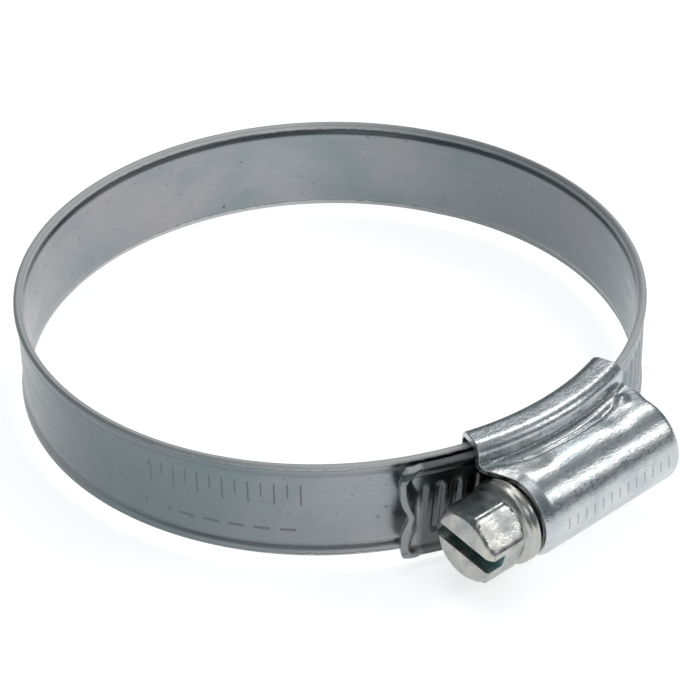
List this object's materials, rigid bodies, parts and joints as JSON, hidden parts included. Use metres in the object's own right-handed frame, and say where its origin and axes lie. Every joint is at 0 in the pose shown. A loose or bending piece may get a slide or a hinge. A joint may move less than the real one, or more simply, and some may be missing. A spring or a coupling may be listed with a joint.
{
  "type": "worm-drive hose clamp",
  "caption": "Worm-drive hose clamp: a slotted hexagon screw in a pressed housing draws the threaded end of a zinc-plated steel band through to tighten it round a hose.",
  "frame": {"origin": "centre of the clamped bore, halfway across the band's width, with the clamp fully open", "axes": "+Z along the bore axis; the screw housing is on the -Y side; the screw lies along X with its hexagon head towards -X"},
  "size_m": [0.0625, 0.0708, 0.0132],
  "materials": {
    "band_steel": "satin zinc-plated strip",
    "housing_steel": "bright zinc plate on pressed sheet",
    "screw_steel": "bright zinc plate, turned collar"
  },
  "bodies": {
    "clamp_body": {"housing": "housing_steel", "band_fixed_end": "band_steel"},
    "screw": {"worm_screw": "screw_steel"},
    "threaded_end": {"band_threaded_end": "band_steel"},
    "span_01": {"band_span_01": "band_steel"},
    "span_02": {"band_span_02": "band_steel"},
    "span_03": {"band_span_03": "band_steel"},
    "span_04": {"band_span_04": "band_steel"},
    "span_05": {"band_span_05": "band_steel"},
    "span_06": {"band_span_06": "band_steel"},
    "span_07": {"band_span_07": "band_steel"},
    "span_08": {"band_span_08": "band_steel"},
    "span_09": {"band_span_09": "band_steel"},
    "span_10": {"band_span_10": "band_steel"},
    "span_11": {"band_span_11": "band_steel"},
    "span_12": {"band_span_12": "band_steel"},
    "span_13": {"band_span_13": "band_steel"},
    "span_14": {"band_span_14": "band_steel"},
    "span_15": {"band_span_15": "band_steel"},
    "span_16": {"band_span_16": "band_steel"},
    "span_17": {"band_span_17": "band_steel"},
    "span_18": {"band_span_18": "band_steel"},
    "span_19": {"band_span_19": "band_steel"},
    "span_20": {"band_span_20": "band_steel"},
    "span_21": {"band_span_21": "band_steel"},
    "span_22": {"band_span_22": "band_steel"},
    "span_23": {"band_span_23": "band_steel"},
    "span_24": {"band_span_24": "band_steel"}
  },
  "joints": [
    {"name": "screw_turn", "type": "hinge", "parent": "clamp_body", "child": "screw", "pos_m": [0, -0.03537, 0], "axis": [1, 0, 0], "range_deg": [0, 9360]},
    {"name": "band_feed", "type": "hinge", "parent": "clamp_body", "child": "threaded_end", "pos_m": [0, -0.001, 0], "axis": [0, 0, -1], "range_deg": [0, 86.51]},
    {"name": "span_01_swing", "type": "hinge", "parent": "clamp_body", "child": "span_01", "pos_m": [-0.01408, -0.02649, 0], "axis": [0, 0, -1], "range_deg": [0, 6.67]},
    {"name": "span_02_swing", "type": "hinge", "parent": "clamp_body", "child": "span_02", "pos_m": [-0.0171, -0.02412, 0], "axis": [0, 0, -1], "range_deg": [0, 14.34]},
    {"name": "span_03_swing", "type": "hinge", "parent": "clamp_body", "child": "span_03", "pos_m": [-0.01919, -0.02163, 0], "axis": [0, 0, -1], "range_deg": [0, 21.04]},
    {"name": "span_04_swing", "type": "hinge", "parent": "clamp_body", "child": "span_04", "pos_m": [-0.0206, -0.01911, 0], "axis": [0, 0, -1], "range_deg": [0, 26.71]},
    {"name": "span_05_swing", "type": "hinge", "parent": "clamp_body", "child": "span_05", "pos_m": [-0.02143, -0.01671, 0], "axis": [0, 0, -1], "range_deg": [0, 31.42]},
    {"name": "span_06_swing", "type": "hinge", "parent": "clamp_body", "child": "span_06", "pos_m": [-0.0218, -0.01452, 0], "axis": [0, 0, -1], "range_deg": [0, 35.29]},
    {"name": "span_07_swing", "type": "hinge", "parent": "clamp_body", "child": "span_07", "pos_m": [-0.02183, -0.01258, 0], "axis": [0, 0, -1], "range_deg": [0, 38.47]},
    {"name": "span_08_swing", "type": "hinge", "parent": "clamp_body", "child": "span_08", "pos_m": [-0.02159, -0.01086, 0], "axis": [0, 0, -1], "range_deg": [0, 41.14]},
    {"name": "span_09_swing", "type": "hinge", "parent": "clamp_body", "child": "span_09", "pos_m": [-0.02117, -0.00933, 0], "axis": [0, 0, -1], "range_deg": [0, 43.47]},
    {"name": "span_10_swing", "type": "hinge", "parent": "clamp_body", "child": "span_10", "pos_m": [-0.02057, -0.00795, 0], "axis": [0, 0, -1], "range_deg": [0, 45.6]},
    {"name": "span_11_swing", "type": "hinge", "parent": "clamp_body", "child": "span_11", "pos_m": [-0.01981, -0.00665, 0], "axis": [0, 0, -1], "range_deg": [0, 47.67]},
    {"name": "span_12_swing", "type": "hinge", "parent": "clamp_body", "child": "span_12", "pos_m": [-0.01888, -0.00543, 0], "axis": [0, 0, -1], "range_deg": [0, 49.78]},
    {"name": "span_13_swing", "type": "hinge", "parent": "clamp_body", "child": "span_13", "pos_m": [-0.01775, -0.00426, 0], "axis": [0, 0, -1], "range_deg": [0, 51.99]},
    {"name": "span_14_swing", "type": "hinge", "parent": "clamp_body", "child": "span_14", "pos_m": [-0.01644, -0.00318, 0], "axis": [0, 0, -1], "range_deg": [0, 54.37]},
    {"name": "span_15_swing", "type": "hinge", "parent": "clamp_body", "child": "span_15", "pos_m": [-0.01495, -0.0022, 0], "axis": [0, 0, -1], "range_deg": [0, 56.92]},
    {"name": "span_16_swing", "type": "hinge", "parent": "clamp_body", "child": "span_16", "pos_m": [-0.01333, -0.00137, 0], "axis": [0, 0, -1], "range_deg": [0, 59.65]},
    {"name": "span_17_swing", "type": "hinge", "parent": "clamp_body", "child": "span_17", "pos_m": [-0.0116, -0.00071, 0], "axis": [0, 0, -1], "range_deg": [0, 62.55]},
    {"name": "span_18_swing", "type": "hinge", "parent": "clamp_body", "child": "span_18", "pos_m": [-0.00983, -0.00023, 0], "axis": [0, 0, -1], "range_deg": [0, 65.59]},
    {"name": "span_19_swing", "type": "hinge", "parent": "clamp_body", "child": "span_19", "pos_m": [-0.00808, 0.00007, 0], "axis": [0, 0, -1], "range_deg": [0, 68.72]},
    {"name": "span_20_swing", "type": "hinge", "parent": "clamp_body", "child": "span_20", "pos_m": [-0.00639, 0.00018, 0], "axis": [0, 0, -1], "range_deg": [0, 71.9]},
    {"name": "span_21_swing", "type": "hinge", "parent": "clamp_body", "child": "span_21", "pos_m": [-0.00479, 0.00014, 0], "axis": [0, 0, -1], "range_deg": [0, 75.08]},
    {"name": "span_22_swing", "type": "hinge", "parent": "clamp_body", "child": "span_22", "pos_m": [-0.00333, -0.00004, 0], "axis": [0, 0, -1], "range_deg": [0, 78.22]},
    {"name": "span_23_swing", "type": "hinge", "parent": "clamp_body", "child": "span_23", "pos_m": [-0.00201, -0.00031, 0], "axis": [0, 0, -1], "range_deg": [0, 81.28]},
    {"name": "span_24_swing", "type": "hinge", "parent": "clamp_body", "child": "span_24", "pos_m": [-0.00085, -0.00067, 0], "axis": [0, 0, -1], "range_deg": [0, 84.2]}
  ],
  "couplings": [
    {"joint": "band_feed", "follows": "screw_turn", "ratio": 0.0092413},
    {"joint": "span_01_swing", "follows": "screw_turn", "ratio": 0.00071191},
    {"joint": "span_02_swing", "follows": "screw_turn", "ratio": 0.0015308},
    {"joint": "span_03_swing", "follows": "screw_turn", "ratio": 0.0022463},
    {"joint": "span_04_swing", "follows": "screw_turn", "ratio": 0.0028528},
    {"joint": "span_05_swing", "follows": "screw_turn", "ratio": 0.0033559},
    {"joint": "span_06_swing", "follows": "screw_turn", "ratio": 0.0037688},
    {"joint": "span_07_swing", "follows": "screw_turn", "ratio": 0.0041086},
    {"joint": "span_08_swing", "follows": "screw_turn", "ratio": 0.0043939},
    {"joint": "span_09_swing", "follows": "screw_turn", "ratio": 0.0046427},
    {"joint": "span_10_swing", "follows": "screw_turn", "ratio": 0.0048708},
    {"joint": "span_11_swing", "follows": "screw_turn", "ratio": 0.0050921},
    {"joint": "span_12_swing", "follows": "screw_turn", "ratio": 0.0053172},
    {"joint": "span_13_swing", "follows": "screw_turn", "ratio": 0.0055539},
    {"joint": "span_14_swing", "follows": "screw_turn", "ratio": 0.0058073},
    {"joint": "span_15_swing", "follows": "screw_turn", "ratio": 0.00608},
    {"joint": "span_16_swing", "follows": "screw_turn", "ratio": 0.006372},
    {"joint": "span_17_swing", "follows": "screw_turn", "ratio": 0.0066818},
    {"joint": "span_18_swing", "follows": "screw_turn", "ratio": 0.0070061},
    {"joint": "span_19_swing", "follows": "screw_turn", "ratio": 0.0073406},
    {"joint": "span_20_swing", "follows": "screw_turn", "ratio": 0.0076806},
    {"joint": "span_21_swing", "follows": "screw_turn", "ratio": 0.0080208},
    {"joint": "span_22_swing", "follows": "screw_turn", "ratio": 0.0083563},
    {"joint": "span_23_swing", "follows": "screw_turn", "ratio": 0.0086824},
    {"joint": "span_24_swing", "follows": "screw_turn", "ratio": 0.008995}
  ]
}
